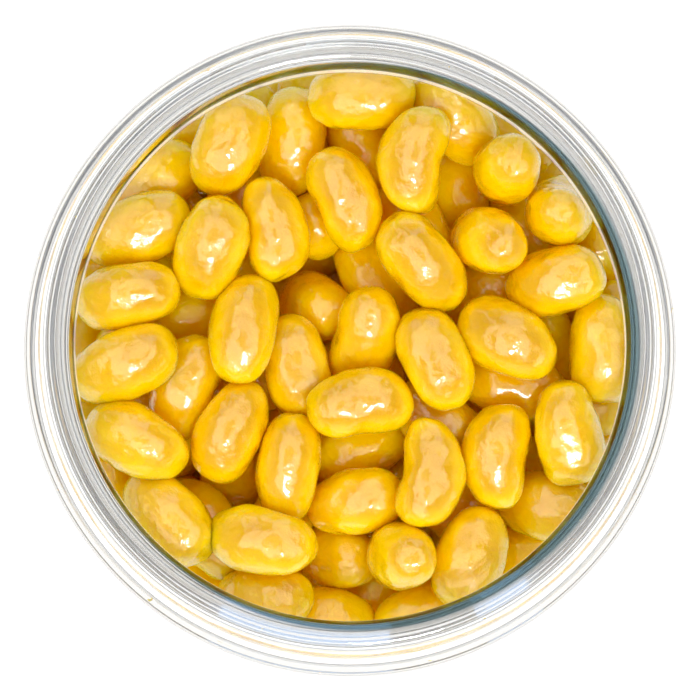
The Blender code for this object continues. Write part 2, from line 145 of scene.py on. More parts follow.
THIRD_BEANS = [
    (3.7, 10.9, 120, 10, -90), (16.2, 23.7, 80, 10, -90), (37.5, 17.8, 110, 10, -90),
    (29.9, 0.9, 100, 10, -90), (16.9, -22.6, 150, 10, -90), (-20.6, -27.1, 115, 10, -90),
    (-36.8, -17.5, 115, 10, -90), (11.8, -40.0, 30, 10, -90), (-22.8, -35.6, 135, 10, -90),
    (18.8, -8.7, 30, 10, -90), (20.6, 9.0, 10, 10, -90), (-25.3, 5.0, 15, 10, -90),
    (1.8, 30.3, 110, 10, -90), (13.2, -11.6, 160, 10, -90), (25.0, -5.3, 0, 10, -90),
    (-39.7, 0.1, 85, 0, -90), (-17.4, -20.4, 90, 65, -90), (-1.8, -30.7, 0, 65, -90),
    (4.1, -37.6, 90, 60, -90),
]

# How close to the wall a bean is moved out against it, and how far it then reaches into the glass
PRESS_REACH = 0.0015
PRESS_DEPTH = 0.01 * MM

# How uneven the beans are: ranges are shares of the plain bean's sizes,
# dents are its wide waves and ripples its short ones
SHELL_BLUNTNESS = 2.45
LENGTH_RANGE = (0.97, 1.05)
THICKNESS_RANGE = (0.99, 1.05)
BEND_RANGE = (0.45, 0.85)
FATTER_END_RANGE = (-0.07, 0.07)
FLATNESS_RANGE = (-0.04, 0.04)
HOLLOW_DEPTH = 0.9 * MM
HOLLOW_RANGE = (0.2, 1.0)
HOLLOW_LENGTH = 0.35
DENT_LENGTH = 0.0075
DENT_DEPTH = 0.20 * MM
DENT_WAVES = 5
RIPPLE_LENGTH = 0.0028
RIPPLE_DEPTH = 0.06 * MM
RIPPLE_WAVES = 7
WAVE_LENGTH_RANGE = (0.75, 1.35)
BEAN_SEED = RANDOM_SEED + 1000

# Sides and rings of a bean that shows in the mouth, and of one behind the glass
TOP_BEAN_MESH = (42, 28)
PACKED_BEAN_MESH = (20, 14)
TOP_BEAN_COUNT = 84
COVERED_SHARE = 0.6

# How the tone and the gloss fade below the heap's open top and by the lip, and how the tone also
# fades on a bean's sides. The tone sets the shell's colour as painted light: lighter in the depth
# and on the sides, darker on the open tops.
LIGHT_AND_TONE = "bean_painted_light_and_tone"
GLOSS = "bean_gloss"
TONE_RANGE = (-0.08, 0.08)
TOP_BEAN_Z = 0.076
TOP_BLUR = 0.012
LIGHT_RISE = 0.002
LIGHT_DEPTH = 0.012
LIP_SHADE_R = 0.029
LIP_SHADE_WIDTH = 0.011
LIP_SHADE = 0.45
FACING_LOW = 0.52
FACING_HIGH = 0.97
SIDE_LIGHT_SHARE = 0.15

# The lumpy core under the beans that show
CORE_R = 0.034
CORE_LOW_Z = 0.016
CORE_HIGH_Z = 0.064
CORE_ROUND = 0.006
CORE_SEGMENTS = 72
CORE_ARC_STEPS = 4
CORE_SIDE_STEPS = 12
CORE_TOP_STEPS = 8
CORE_LUMP_LENGTH = 0.012
CORE_LUMP_DEPTH = 0.0012
CORE_LUMP_WAVES = 9

# The glass is clear but for a painted dark reflection, a line round its mouth. The line runs
# outwards from the inner edge of the lip's top, and is widest towards one side.
CLEAR = (0.985, 0.995, 0.99)
RIM_REFLECTION = [(0.0, (0.02, 0.06, 0.08)), (0.7, (0.04, 0.10, 0.12)), (1.0, CLEAR)]
RIM_REFLECTION_SIDE = (0.95, -0.3, 0.0)
RIM_REFLECTION_WIDTHS = (0.0002, 0.0026)
RIM_REFLECTION_LOW_Z = JAR_HEIGHT - 0.0026
GLASS_IOR = 1.5

# The sugar shell: colours by its tone, painted light that runs from golden in the depth and on
# the sides to darker on the open top; patterns in waves to a metre with the heights they stand
# up, and the jelly's depth of light
SHELL_COLOURS_BY_LIGHT = [
    (0.0, (0.99, 0.575, 0.0)),
    (0.5, (0.84, 0.475, 0.0)),
    (1.0, (0.64, 0.355, 0.0)),
]
PATTERN_RANGE = (0.3, 0.7)
CLOUD_WAVES = 260.0
CLOUD_TONES = (-0.1, 0.1)
RIPPLE_PATTERN_WAVES = 260.0
RIPPLE_PATTERN_HEIGHT = 0.85 * MM
CREASE_WAVES = 700.0
CREASE_HEIGHT = 0.085 * MM
GRAIN_WAVES = 2800.0
GRAIN_HEIGHT = 0.045 * MM
SHELL_ROUGHNESS = (0.20, 0.36)
FULL_GLOSS_AT = 0.7
SHELL_GLOSS = (0.35, 1.0)
JELLY_LIGHT_DEPTH = 0.010
JELLY_LIGHT_COLOUR = (1.0, 0.8, 0.03)

# The light: shades of the dome by the sine of its height, from the ground to
# straight above, and a window with a bar, by azimuth and by sine of height
SKY_STRENGTH = 2.08
SKY = [
    (0.0, (0.38, 0.39, 0.40)),
    (0.12, (0.38, 0.39, 0.40)),
    (0.20, (0.06, 0.06, 0.07)),
    (0.55, (0.08, 0.08, 0.09)),
    (0.70, (0.97, 0.98, 1.0)),
    (0.955, (1.0, 1.0, 1.0)),
    (0.975, (0.27, 0.27, 0.28)),
]
BRIGHTER_SIDE = (-0.3, -0.95, 0.0)
SIDE_RANGE = (0.60, 1.20)
WINDOW_COLOUR = (0.30, 0.45, 0.70)
WINDOW_AZIMUTH = (63.0, 128.0)
WINDOW_SINE = (0.10, 0.62)
WINDOW_BAR_COLOUR = (0.02, 0.03, 0.04)
WINDOW_BAR_AZIMUTH = (98.0, 116.0)
KEY_SIZE = 0.14
KEY_DISTANCE = 0.8
KEY_AZIMUTH = -80.0
KEY_TILT = 32.0
KEY_POWER = 3.2
LIGHT_BOUNCES = 24
JELLY_BOUNCES = 6

# The floor, just under the jar
FLOOR_WIDTH = 6.0
FLOOR_DROP = 0.2 * MM
FLOOR_COLOUR = (0.30, 0.30, 0.30, 1.0)
FLOOR_ROUGHNESS = 0.9
FLOOR_GLOW = 0.88

# The camera, all but straight above the jar
PHOTO_WIDTH = 700
FOCAL_PIXELS = 5144
SENSOR_WIDTH = 36.0
CAMERA_ELEVATION = 87.4
CAMERA_DISTANCE = 0.772
AIM_Z = 0.076


def smooth_share(share):
    """An S-curve from 0 to 1, flat at both ends."""
    share = np.clip(share, 0.0, 1.0)
    return share * share * (3.0 - 2.0 * share)


def inner_radius(z):
    """Radius of the jar's inner wall at the heights z."""
    shoulder = smooth_share((z - SHOULDER_LOW_Z) / (SHOULDER_TOP_Z - SHOULDER_LOW_Z))
    wall = BODY_INNER_R + (MOUTH_R - BODY_INNER_R) * shoulder
    depth = np.clip(FLOOR_Z + HEEL_R - z, 0.0, HEEL_R)
    return wall - HEEL_R + np.sqrt(HEEL_R ** 2 - depth ** 2)


def arc(centre_r, centre_z, radius, start, end, steps):
    """Points of an arc in the (radius, height) plane, angles in degrees."""
    turns = np.radians(np.linspace(start, end, steps + 1))
    return [(centre_r + radius * math.cos(t), centre_z + radius * math.sin(t)) for t in turns]


def s_curve(start, end, steps):
    """Points from start to end whose radius follows an S-curve."""
    shares = np.linspace(0.0, 1.0, steps + 1)
    return [
        (
            start[0] + (end[0] - start[0]) * float(smooth_share(share)),
            start[1] + (end[1] - start[1]) * share,
        )
        for share in shares
    ]


def jar_outline():
    """The jar's section, from the axis under the floor, round the lip, to the axis inside."""
    outline = [(0.0, PUSH_UP), (PUSH_UP_R, PUSH_UP), (FOOT_INNER_R, 0.0)]
    outline += arc(BODY_OUTER_R - HEEL_R, HEEL_R, HEEL_R, -90, 0, ARC_STEPS)
    outline += s_curve((BODY_OUTER_R, SHOULDER_LOW_Z), (NECK_OUTER_R, NECK_Z), SHOULDER_STEPS)
    outline += [(LIP_OUTER_R, LIP_SIDE_Z)]
    lip_middle = 0.5 * (MOUTH_R + LIP_OUTER_R)
    outline += arc(lip_middle, JAR_HEIGHT - LIP_ROUND, LIP_ROUND, 0, 180, 2 * ARC_STEPS)
    outline += s_curve((MOUTH_R, SHOULDER_TOP_Z), (BODY_INNER_R, SHOULDER_LOW_Z), SHOULDER_STEPS)
    outline += arc(BODY_INNER_R - HEEL_R, FLOOR_Z + HEEL_R, HEEL_R, 0, -90, ARC_STEPS)
    outline += [(0.0, FLOOR_Z)]
    return outline


def turn(heading, pitch, roll):
    """A bean's axes as columns: along it, away from its hollow, and across."""
    heading, pitch, roll = np.radians([heading, pitch, roll])
    flat = math.cos(pitch)
    along = np.array([math.cos(heading) * flat, math.sin(heading) * flat, math.sin(pitch)])
    left = np.array([-math.sin(heading), math.cos(heading), 0.0])
    hollow = left * math.cos(roll) + np.cross(along, left) * math.sin(roll)
    return np.stack([along, -hollow, np.cross(along, -hollow)], axis=1)


def below_shoulder(x, y, z):
    """Lower a bean's middle from the height z until its side clears the wall."""
    side = math.hypot(x, y) + BEAN_RADIUS
    while z > SHOULDER_LOW_Z and inner_radius(z) - WALL_GAP < side:
        z -= LOWERING_STEP
    return z


def laid_beans():
    """Places and turns of the beans laid in the open top."""
    places, turns = [], []
    for level, rows in enumerate((TOP_BEANS, SECOND_BEANS, THIRD_BEANS)):
        for x, y, heading, pitch, roll in rows:
            z = below_shoulder(x * MM, y * MM, TOP_LEVEL_Z - level * LEVEL_STEP)
            places.append((x * MM, y * MM, z))
            turns.append(turn(heading, pitch, roll))
    return np.array(places), np.array(turns)


def poured_beans(random):
    """Random places and turns of the loose beans under them."""
    heights = random.uniform(POUR_LOW_Z, POUR_HIGH_Z, LOOSE_BEANS)
    radii = POUR_R * np.sqrt(random.uniform(0.0, 1.0, LOOSE_BEANS))
    angles = random.uniform(0.0, 2 * math.pi, LOOSE_BEANS)
    headings = random.uniform(0.0, 360.0, LOOSE_BEANS)
    pitches = np.degrees(np.arcsin(random.uniform(-STEEPEST_SINE, STEEPEST_SINE, LOOSE_BEANS)))
    rolls = random.uniform(0.0, 360.0, LOOSE_BEANS)
    places = np.stack([radii * np.cos(angles), radii * np.sin(angles), heights], axis=1)
    return places, np.array([turn(*way) for way in zip(headings, pitches, rolls)])


def ball_centres(places, turns):
    """Centres of all the balls, five to a bean, in one list."""
    return (places[:, None] + np.einsum("nij,kj->nki", turns, BALL_PLACES)).reshape(-1, 3)


def near_balls(places):
    """Every pair of balls whose beans lie close enough to touch."""
    apart = places[:, None] - places[None]
    near = (apart * apart).sum(axis=2) < NEIGHBOUR_REACH ** 2
    first, second = np.nonzero(np.triu(near, 1))
    ball = np.arange(BALLS)
    pairs = np.zeros((len(first), BALLS, BALLS), dtype=int)
    ones = pairs + first[:, None, None] * BALLS + ball[None, :, None]
    others = pairs + second[:, None, None] * BALLS + ball[None, None, :]
    return ones.reshape(-1), others.reshape(-1)


def push_apart(centres, radii, ones, others):
    """Move overlapping balls away from each other by half of what they overlap."""
    apart = centres[ones] - centres[others]
    distance = np.sqrt((apart * apart).sum(axis=1)) + TINY
    overlap = radii[ones] + radii[others] - distance
    hit = overlap > 0.0
    ones, others = ones[hit], others[hit]
    push = apart[hit] * (0.5 * overlap[hit] / distance[hit])[:, None]
    count = len(centres)
    hits = np.bincount(ones, minlength=count) + np.bincount(others, minlength=count)
    moved = centres.copy()
    for axis in range(3):
        away = np.bincount(ones, push[:, axis], count)
        away = away - np.bincount(others, push[:, axis], count)
        moved[:, axis] += away / np.maximum(1.0, hits * SHARED_PUSH)
    return moved


def keep_in_jar(centres, radii):
    """Hold the balls off the wall, the floor and the level of the brim."""
    limits = [
        inner_radius(centres[:, 2] + share * radii) - math.sqrt(1.0 - share * share) * radii
        for share in WALL_CHECKS
    ]
    limit = np.min(limits, axis=0) - WALL_GAP
    reach = np.hypot(centres[:, 0], centres[:, 1])
    centres[:, :2] *= np.minimum(1.0, limit / np.maximum(reach, TINY))[:, None]
    centres[:, 2] = np.clip(centres[:, 2], FLOOR_Z + WALL_GAP + radii, FILL_Z - radii)
    return centres


def follow_balls(places, turns, before, after):
    """Move and turn each bean as one stiff piece to where its balls went."""
    weights = BALL_R ** 2 / (BALL_R ** 2).sum()
    before = before.reshape(-1, BALLS, 3)
    moves = after.reshape(-1, BALLS, 3) - before
    shift = (moves * weights[None, :, None]).sum(axis=1)
    arms = before - places[:, None]
    torque = (np.cross(arms, moves - shift[:, None]) * weights[None, :, None]).sum(axis=1)
    inertia = ((arms ** 2).sum(axis=2) * weights).sum(axis=1)
    spin = OVER_STEP * torque / inertia[:, None]
    return places + OVER_STEP * shift, turns + np.cross(spin[:, :, None], turns, axis=1)


def square_up(turns):
    """Make the bean's axes square to each other and of unit length again."""
    along = turns[:, :, 0] / np.linalg.norm(turns[:, :, 0], axis=1)[:, None]
    away = turns[:, :, 1]
    away = away - (along * away).sum(axis=1)[:, None] * along
    away = away / np.linalg.norm(away, axis=1)[:, None]
    return np.stack([along, away, np.cross(along, away)], axis=2)


def clear_of_wall(places, turns):
    """Shift each bean whole by the most that any of its balls needs to clear the jar."""
    radii = np.tile(BALL_R, len(places))
    for _ in range(CLEARING_STEPS):
        centres = ball_centres(places, turns)
        needed = (keep_in_jar(centres.copy(), radii) - centres).reshape(-1, BALLS, 3)
        furthest = np.argmax((needed ** 2).sum(axis=2), axis=1)
        places = places + needed[np.arange(len(places)), furthest]
    return places


def settled_beans():
    """Places and turns of every bean once the jar is full."""
    laid_places, laid_turns = laid_beans()
    loose_places, loose_turns = poured_beans(np.random.default_rng(RANDOM_SEED))
    laid = len(laid_places)
    places = np.concatenate([laid_places, loose_places])
    turns = np.concatenate([laid_turns, loose_turns])
    full_radii = np.tile(BALL_R, len(places))
    for step in range(STEPS):
        if step % NEIGHBOUR_STEPS == 0:
            ones, others = near_balls(places)
        grown = min(1.0, step / FULL_SIZE_STEP)
        radii = full_radii * (START_SIZE + (1.0 - START_SIZE) * grown)
        centres = ball_centres(places, turns)
        moved = push_apart(centres, radii, ones, others)
        if step < DRIFT_STEPS:
            moved[:, 2] -= DRIFT
        moved = keep_in_jar(moved, radii)
        places, turns = follow_balls(places, turns, centres, moved)
        if step < LET_GO_STEP:
            faded = max(0.0, (step - FULL_SIZE_STEP) / HOLD_FADE_STEPS)
            hold = max(WEAK_HOLD, HOLD - faded)
            level_hold = LEVEL_HOLD if grown < 1.0 else WEAK_LEVEL_HOLD
            places[:laid, :2] += (laid_places[:, :2] - places[:laid, :2]) * hold
            places[:laid, 2] += (laid_places[:, 2] - places[:laid, 2]) * level_hold
            turns[:laid] += (laid_turns - turns[:laid]) * hold * TURN_HOLD
        places = np.round(places, 10)
        turns = np.round(square_up(turns), 7)
    return clear_of_wall(places, turns), turns


def start_afresh():
    """Deselect everything, so that the next operator acts on the new piece alone."""
    bpy.ops.object.select_all(action="DESELECT")


def turned_piece(name, outline, segments):
    """A section drawn out point by point from the axis, spun round it and closed."""
    start_afresh()
    bpy.ops.mesh.primitive_plane_add(size=MM)
    piece = bpy.context.object
    piece.name = name
    piece.data.name = name
    bpy.ops.object.mode_set(mode="EDIT")
    bpy.ops.mesh.merge(type="CENTER")
    bpy.ops.transform.translate(value=(outline[0][0], 0.0, outline[0][1]))
    for (r, z), (next_r, next_z) in zip(outline, outline[1:]):
        bpy.ops.mesh.extrude_region_move(
            TRANSFORM_OT_translate={"value": (next_r - r, 0.0, next_z - z)})
    bpy.ops.mesh.select_all(action="SELECT")
    bpy.ops.mesh.spin(steps=segments, angle=2 * math.pi, center=(0, 0, 0), axis=(0, 0, 1))
    bpy.ops.mesh.select_all(action="SELECT")
    bpy.ops.mesh.remove_doubles(threshold=MERGE_DISTANCE)
    bpy.ops.mesh.normals_make_consistent(inside=False)
    bpy.ops.object.mode_set(mode="OBJECT")
    bpy.ops.object.shade_smooth()
    return piece


def mesh_piece(name, points, faces):
    """One piece from arrays of points and of faces with four corners."""
    mesh = bpy.data.meshes.new(name)
    mesh.from_pydata(points.tolist(), [], faces.tolist())
    mesh.validate()
    mesh.shade_smooth()
    piece = bpy.data.objects.new(name, mesh)
    bpy.context.scene.collection.objects.link(piece)
    return piece


def finished(piece, material, node):
    """Give a piece its material, hang it under the root, and hide the solid it stands for."""
    piece.data.materials.clear()
    piece.data.materials.append(material)
    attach(piece, "root")
    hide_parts(node)
    return piece


def nodes_of(name):
    """A new material with its nodes, its links and its shader."""
    material = bpy.data.materials.new(name)
    material.use_nodes = True
    tree = material.node_tree
    return material, tree.nodes, tree.links, tree.nodes["Principled BSDF"]


def noise(nodes, links, scale, detail):
    """A noise pattern on the piece's own coordinates, with that many waves to a metre."""
    place = nodes.new("ShaderNodeTexCoord")
    pattern = nodes.new("ShaderNodeTexNoise")
    pattern.inputs["Scale"].default_value = scale
    pattern.inputs["Detail"].default_value = detail
    links.new(place.outputs["Object"], pattern.inputs["Vector"])
    return pattern.outputs["Fac"]


def attribute(nodes, name):
    """A value that the piece's own points carry."""
    made = nodes.new("ShaderNodeAttribute")
    made.attribute_name = name
    return made.outputs["Fac"]


def ramp(nodes, links, source, stops):
    """Colours run through by a value, as (place, colour) pairs."""
    made = nodes.new("ShaderNodeValToRGB")
    spots = made.color_ramp.elements
    while len(spots) < len(stops):
        spots.new(0.5)
    for spot, (place, colour) in zip(spots, stops):
        spot.position = place
        spot.color = (*colour, 1.0)
    links.new(source, made.inputs["Fac"])
    return made.outputs["Color"]


def levels(nodes, links, source, old_range, new_range):
    """Move a value from one range to another."""
    made = nodes.new("ShaderNodeMapRange")
    made.inputs["From Min"].default_value, made.inputs["From Max"].default_value = old_range
    made.inputs["To Min"].default_value, made.inputs["To Max"].default_value = new_range
    links.new(source, made.inputs["Value"])
    return made.outputs["Result"]


def value_of(nodes, links, operation, one, other):
    """A sum or a comparison of two values, each a number or a node's output."""
    made = nodes.new("ShaderNodeMath")
    made.operation = operation
    for place, value in enumerate((one, other)):
        if isinstance(value, (int, float)):
            made.inputs[place].default_value = value
        else:
            links.new(value, made.inputs[place])
    return made.outputs[0]


def between(nodes, links, value, low, high):
    """1 where a value lies between two limits, else 0."""
    above = value_of(nodes, links, "GREATER_THAN", value, low)
    below = value_of(nodes, links, "LESS_THAN", value, high)
    return value_of(nodes, links, "MULTIPLY", above, below)


def vector_node(nodes, links, operation, source, other=None):
    """A node that works on a vector and, where it takes two, on a fixed other one."""
    made = nodes.new("ShaderNodeVectorMath")
    made.operation = operation
    links.new(source, made.inputs[0])
    if other is not None:
        made.inputs[1].default_value = other
    return made


def bump(nodes, links, height, distance, under=None):
    """Relief that stands up by the height pattern, over the relief under it."""
    made = nodes.new("ShaderNodeBump")
    made.inputs["Distance"].default_value = distance
    made.inputs["Strength"].default_value = 1.0
    links.new(height, made.inputs["Height"])
    if under is not None:
        links.new(under, made.inputs["Normal"])
    return made.outputs["Normal"]


def clear_glass():
    """Clear glass with a painted dark reflection, a line round the mouth."""
    material, nodes, links, shader = nodes_of("jar_glass")
    place = nodes.new("ShaderNodeTexCoord").outputs["Object"]
    parts = nodes.new("ShaderNodeSeparateXYZ")
    links.new(place, parts.inputs["Vector"])
    flat = vector_node(nodes, links, "MULTIPLY", place, (1.0, 1.0, 0.0))
    radius = vector_node(nodes, links, "LENGTH", flat.outputs["Vector"])
    toward = vector_node(nodes, links, "DOT_PRODUCT", place, RIM_REFLECTION_SIDE)
    width = levels(nodes, links, toward.outputs["Value"], (-MOUTH_R, MOUTH_R), RIM_REFLECTION_WIDTHS)
    across = value_of(nodes, links, "SUBTRACT", radius.outputs["Value"], MOUTH_R)
    share = value_of(nodes, links, "DIVIDE", across, width)
    below = value_of(nodes, links, "LESS_THAN", parts.outputs["Z"], RIM_REFLECTION_LOW_Z)
    # Painted reflection: the dark line's colour, widest towards one side
    rim_reflection = ramp(nodes, links, value_of(nodes, links, "MAXIMUM", share, below), RIM_REFLECTION)
    links.new(rim_reflection, shader.inputs["Base Color"])
    shader.inputs["Transmission Weight"].default_value = 1.0
    shader.inputs["Roughness"].default_value = 0.0
    shader.inputs["IOR"].default_value = GLASS_IOR
    return material


def bean_shell():
    """A pearly, slightly clear sugar shell over yellow jelly, its colour painted lighter in the
    heap's depth and darker on its open tops.
    """
    material, nodes, links, shader = nodes_of("bean_shell")
    clouds = noise(nodes, links, CLOUD_WAVES, detail=3.0)
    uneven = levels(nodes, links, clouds, PATTERN_RANGE, CLOUD_TONES)
    # Painted light: the colour follows the tone, lighter in the heap's depth and on the sides,
    # darker on its open tops, with random clouds over it
    painted_light_and_tone = value_of(nodes, links, "ADD", attribute(nodes, LIGHT_AND_TONE), uneven)
    links.new(ramp(nodes, links, painted_light_and_tone, SHELL_COLOURS_BY_LIGHT), shader.inputs["Base Color"])
    grain = noise(nodes, links, GRAIN_WAVES, detail=2.0)
    matt = levels(nodes, links, grain, PATTERN_RANGE, SHELL_ROUGHNESS)
    links.new(matt, shader.inputs["Roughness"])
    ripples = noise(nodes, links, RIPPLE_PATTERN_WAVES, detail=1.5)
    creases = noise(nodes, links, CREASE_WAVES, detail=1.0)
    wide = bump(nodes, links, ripples, RIPPLE_PATTERN_HEIGHT)
    soft = bump(nodes, links, creases, CREASE_HEIGHT, under=wide)
    fine = bump(nodes, links, grain, GRAIN_HEIGHT, under=soft)
    links.new(fine, shader.inputs["Normal"])
    links.new(fine, shader.inputs["Coat Normal"])
    shader.inputs["Subsurface Weight"].default_value = 1.0
    shader.inputs["Subsurface Radius"].default_value = JELLY_LIGHT_COLOUR
    shader.inputs["Subsurface Scale"].default_value = JELLY_LIGHT_DEPTH
    shader.inputs["IOR"].default_value = 1.5
    shader.inputs["Specular IOR Level"].default_value = 0.1
    shader.inputs["Specular Tint"].default_value = (1.0, 0.80, 0.4, 1.0)
    gloss = levels(nodes, links, attribute(nodes, GLOSS), (0.0, FULL_GLOSS_AT), SHELL_GLOSS)
    links.new(gloss, shader.inputs["Coat Weight"])
    shader.inputs["Coat Roughness"].default_value = 0.07
    shader.inputs["Coat IOR"].default_value = 1.85
    return material


def bean_form(sides, rings):
    """How far along and round a plain bean its points lie, and the faces between them."""
    shares = -np.cos(math.pi * np.arange(rings + 1) / rings)
    angles = 2 * math.pi * np.arange(sides) / sides
    along = np.repeat(shares, sides)
    round_it = np.tile(angles, rings + 1)
    spot = np.arange(rings * sides).reshape(rings, sides)
    after = np.roll(spot, -1, axis=1)
    faces = np.stack([spot, spot + sides, after + sides, after], axis=2).reshape(-1, 4)
    return along, round_it, faces


def waves(points, random, length, size, count):
    """A smooth uneven height over the points, from a few waves that run all ways."""
    heights = np.zeros(len(points))
    for _ in range(count):
        way = random.normal(size=3)
        way *= 2 * math.pi / (length * random.uniform(*WAVE_LENGTH_RANGE) * np.linalg.norm(way))
        heights += np.sin(points @ way + random.uniform(0.0, 2 * math.pi))
    return heights * size / math.sqrt(count)


def uneven_bean(along, round_it, random):
    """Points and outward ways of one bean, with its own size, bend, hollow and dents."""
    half_length = BEAN_HALF_LENGTH * random.uniform(*LENGTH_RANGE)
    thick = BEAN_RADIUS * random.uniform(*THICKNESS_RANGE)
    bend = BEAN_BEND * random.uniform(*BEND_RANGE)
    fatter = random.uniform(*FATTER_END_RANGE)
    flat = random.uniform(*FLATNESS_RANGE)
    hollow = HOLLOW_DEPTH * random.uniform(*HOLLOW_RANGE)
    radius = thick * (1.0 - np.abs(along) ** SHELL_BLUNTNESS) ** (1.0 / SHELL_BLUNTNESS)
    radius = radius * (1.0 + fatter * along)
    middle = bend * (0.5 - along ** 2)
    inner = np.maximum(-np.cos(round_it), 0.0) ** 2 * np.exp(-(along / HOLLOW_LENGTH) ** 2)
    points = np.stack([
        half_length * along,
        middle + radius * np.cos(round_it) * (1.0 - flat) + hollow * inner,
        radius * np.sin(round_it) * (1.0 + flat),
    ], axis=1)
    share = np.sqrt(np.maximum(1.0 - along ** 2, 0.0))
    out = np.stack([along ** 3, share * np.cos(round_it), share * np.sin(round_it)], axis=1)
    out /= np.linalg.norm(out, axis=1)[:, None]
    relief = waves(points, random, DENT_LENGTH, DENT_DEPTH, DENT_WAVES)
    relief = relief + waves(points, random, RIPPLE_LENGTH, RIPPLE_DEPTH, RIPPLE_WAVES)
    return points + out * relief[:, None], out


def top_level(points, peaks):
    """Height of the heap's open top over the points, taken from the top beans' middles around."""
    apart = ((points[:, None, :2] - peaks[None, :, :2]) ** 2).sum(axis=2)
    weights = np.exp(-apart / TOP_BLUR ** 2)
    return (weights * peaks[None, :, 2]).sum(axis=1) / weights.sum(axis=1)


def openness(points, peaks):
    """1 at the heap's top, falling to 0 in its depth and lower by the lip, which shades it."""
    depth = top_level(points, peaks) - points[:, 2]
    reach = np.hypot(points[:, 0], points[:, 1])
    shaded = smooth_share((reach - LIP_SHADE_R) / LIP_SHADE_WIDTH)
    return (1.0 - smooth_share((depth + LIGHT_RISE) / LIGHT_DEPTH)) * (1.0 - LIP_SHADE * shaded)


def pressed_to_glass(points):
    """Move a bean that lies near the wall straight out until it reaches just into the glass."""
    reach = np.hypot(points[:, 0], points[:, 1])
    gaps = inner_radius(points[:, 2]) - reach
    nearest = np.argmin(gaps)
    if gaps[nearest] > PRESS_REACH:
        return points
    move = (gaps[nearest] + PRESS_DEPTH) / reach[nearest]
    return points + np.array([points[nearest, 0] * move, points[nearest, 1] * move, 0.0])


def bean_piece(name, places, turns, chosen, sides, rings, peaks):
    """The chosen beans as one mesh, each uneven in its own way and a little lighter or darker,
    with painted light in their tone.
    """
    along, round_it, faces = bean_form(sides, rings)
    points, all_faces, light_and_tone_values, gloss = [], [], [], []
    for number, bean in enumerate(chosen):
        random = np.random.default_rng(BEAN_SEED + int(bean))
        form, out = uneven_bean(along, round_it, random)
        placed = pressed_to_glass(form @ turns[bean].T + places[bean])
        points.append(placed)
        all_faces.append(faces + number * len(along))
        # Painted light: a high tone on open, upward-facing surfaces paints them darker, a low one
        # in the depth and on the sides paints them lighter
        rise = (out @ turns[bean].T)[:, 2]
        facing = smooth_share((rise - FACING_LOW) / (FACING_HIGH - FACING_LOW))
        light = openness(placed, peaks)
        painted_light = light * (SIDE_LIGHT_SHARE + (1.0 - SIDE_LIGHT_SHARE) * facing)
        gloss.append(light)
        light_and_tone_values.append(painted_light + random.uniform(*TONE_RANGE))
    piece = mesh_piece(name, np.concatenate(points), np.concatenate(all_faces))
    start_afresh()
    piece.select_set(True)
    bpy.context.view_layer.objects.active = piece
    for title, values in ((LIGHT_AND_TONE, light_and_tone_values), (GLOSS, gloss)):
        made = piece.data.attributes.new(title, "FLOAT", "POINT")
        made.data.foreach_set("value", np.concatenate(values).astype(np.float32))
    bpy.ops.object.mode_set(mode="EDIT")
    bpy.ops.mesh.select_all(action="SELECT")
    bpy.ops.mesh.remove_doubles(threshold=MERGE_DISTANCE)
    bpy.ops.mesh.normals_make_consistent(inside=False)
    bpy.ops.object.mode_set(mode="OBJECT")
    return piece


def core_piece():
    """The unseen middle of the heap, a lumpy mass that the beans lie on."""
    flat_r = CORE_R - CORE_ROUND
    low, high = CORE_LOW_Z + CORE_ROUND, CORE_HIGH_Z - CORE_ROUND
    outline = [(0.0, CORE_LOW_Z), (flat_r, CORE_LOW_Z)]
    outline += arc(flat_r, low, CORE_ROUND, -90, 0, CORE_ARC_STEPS)[1:]
    outline += [(CORE_R, z) for z in np.linspace(low, high, CORE_SIDE_STEPS)[1:]]
    outline += arc(flat_r, high, CORE_ROUND, 0, 90, CORE_ARC_STEPS)[1:]
    outline += [(r, CORE_HIGH_Z) for r in np.linspace(flat_r, 0.0, CORE_TOP_STEPS)[1:]]
    piece = turned_piece("bean_core", outline, CORE_SEGMENTS)
    points = np.array([corner.co for corner in piece.data.vertices])
    random = np.random.default_rng(RANDOM_SEED)
    lumps = waves(points, random, CORE_LUMP_LENGTH, CORE_LUMP_DEPTH, CORE_LUMP_WAVES)
    out = np.array([corner.normal for corner in piece.data.vertices])
    piece.data.vertices.foreach_set("co", (points + out * lumps[:, None]).ravel())
    piece.data.update()
    return piece


def seen_from_top(places, turns):
    """Which beans can show in the open mouth."""
    centres = ball_centres(places, turns)
    radii = np.tile(BALL_R, len(places))
    owner = np.repeat(np.arange(len(places)), BALLS)
    apart = centres[:, None] - centres[None]
    aside = np.hypot(apart[:, :, 0], apart[:, :, 1])
    above = (apart[:, :, 2] < 0.0) & (owner[:, None] != owner[None])
    covered = (above & (aside < COVERED_SHARE * radii[None])).any(axis=1)
    return ~covered.reshape(-1, BALLS).all(axis=1)


def buried(places):
    """Which beans lie wholly inside the core."""
    inside = np.hypot(places[:, 0], places[:, 1]) < CORE_R - BEAN_HALF_LENGTH
    over_its_foot = places[:, 2] > CORE_LOW_Z + BEAN_HALF_LENGTH
    under_its_top = places[:, 2] < CORE_HIGH_Z - BEAN_HALF_LENGTH
    return inside & over_its_foot & under_its_top


def make_beans():
    """The beans that show in the mouth, the ones behind the glass, and the core under them."""
    places, turns = settled_beans()
    top = seen_from_top(places, turns)
    top &= places[:, 2] >= np.sort(places[top, 2])[-TOP_BEAN_COUNT]
    rest = ~top & ~buried(places)
    shell = bean_shell()
    peaks = places[top & (places[:, 2] > TOP_BEAN_Z)]
    for name, chosen, (sides, rings) in (
            ("top_beans", top, TOP_BEAN_MESH), ("packed_beans", rest, PACKED_BEAN_MESH)):
        piece = bean_piece(name, places, turns, np.nonzero(chosen)[0], sides, rings, peaks)
        finished(piece, shell, "beans")
    finished(core_piece(), shell, "beans")


